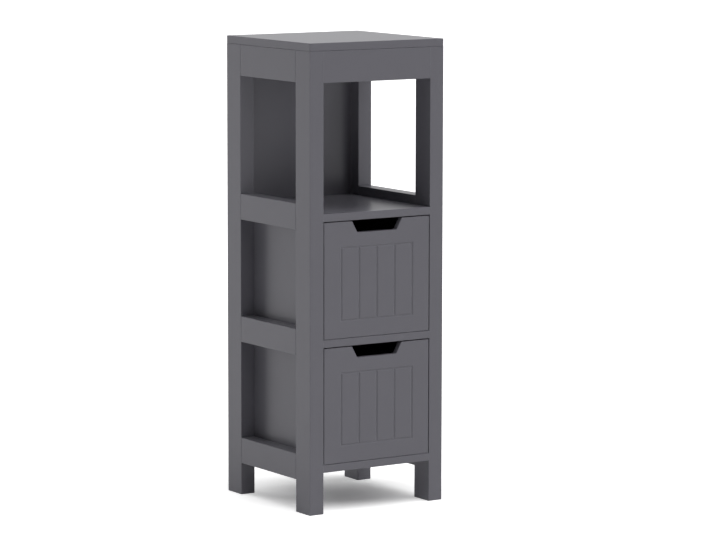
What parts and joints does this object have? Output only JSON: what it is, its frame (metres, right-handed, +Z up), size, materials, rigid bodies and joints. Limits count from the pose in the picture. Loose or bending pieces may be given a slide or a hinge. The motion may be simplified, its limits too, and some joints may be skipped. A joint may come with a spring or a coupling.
{
  "type": "bathroom shelf unit",
  "caption": "Narrow free-standing bathroom unit: square legs carry an open compartment under the top panel, and drawers with finger cut-outs and routed plank fronts below it.",
  "frame": {"origin": "centre of the footprint, on the floor", "axes": "+Z up, the drawer fronts face -Y, +X to the right seen from the front"},
  "size_m": [0.3, 0.3, 0.89],
  "materials": {
    "grey_paint": "satin slate grey lacquer on fibreboard",
    "hardboard": "thin hardboard with a grey foil face above",
    "beech": "raw fluted beech",
    "zinc_plate": "zinc plated"
  },
  "bodies": {
    "carcass": {"top_panel": "grey_paint", "leg_front_left": "grey_paint", "leg_front_right": "grey_paint", "leg_rear_left": "grey_paint", "leg_rear_right": "grey_paint", "top_rail_left": "grey_paint", "top_rail_right": "grey_paint", "shelf_rail_left": "grey_paint", "shelf_rail_right": "grey_paint", "middle_rail_left": "grey_paint", "middle_rail_right": "grey_paint", "bottom_rail_left": "grey_paint", "bottom_rail_right": "grey_paint", "front_apron": "grey_paint", "shelf_panel": "grey_paint", "divider_panel": "grey_paint", "bottom_panel": "grey_paint", "back_panel": "grey_paint", "side_panel_upper_left": "grey_paint", "side_panel_upper_right": "grey_paint", "side_panel_lower_left": "grey_paint", "side_panel_lower_right": "grey_paint", "frame_dowels": "beech", "frame_cam_bolts": "zinc_plate", "frame_cam_nuts": "zinc_plate", "side_panel_screws": "zinc_plate", "back_panel_screws": "zinc_plate", "back_panel_dowels": "beech"},
    "drawer_upper": {"drawer_upper_front": "grey_paint", "drawer_upper_side_left": "grey_paint", "drawer_upper_side_right": "grey_paint", "drawer_upper_back": "grey_paint", "drawer_upper_bottom": "hardboard", "drawer_upper_dowels": "beech", "drawer_upper_cam_bolts": "zinc_plate", "drawer_upper_cam_nuts": "zinc_plate", "drawer_upper_screws": "zinc_plate"},
    "drawer_lower": {"drawer_lower_front": "grey_paint", "drawer_lower_side_left": "grey_paint", "drawer_lower_side_right": "grey_paint", "drawer_lower_back": "grey_paint", "drawer_lower_bottom": "hardboard", "drawer_lower_dowels": "beech", "drawer_lower_cam_bolts": "zinc_plate", "drawer_lower_cam_nuts": "zinc_plate", "drawer_lower_screws": "zinc_plate"}
  },
  "joints": [
    {"name": "drawer_upper_slide", "type": "slide", "parent": "carcass", "child": "drawer_upper", "axis": [0, -1, 0], "range_m": [0, 0.2]},
    {"name": "drawer_lower_slide", "type": "slide", "parent": "carcass", "child": "drawer_lower", "axis": [0, -1, 0], "range_m": [0, 0.2]}
  ]
}
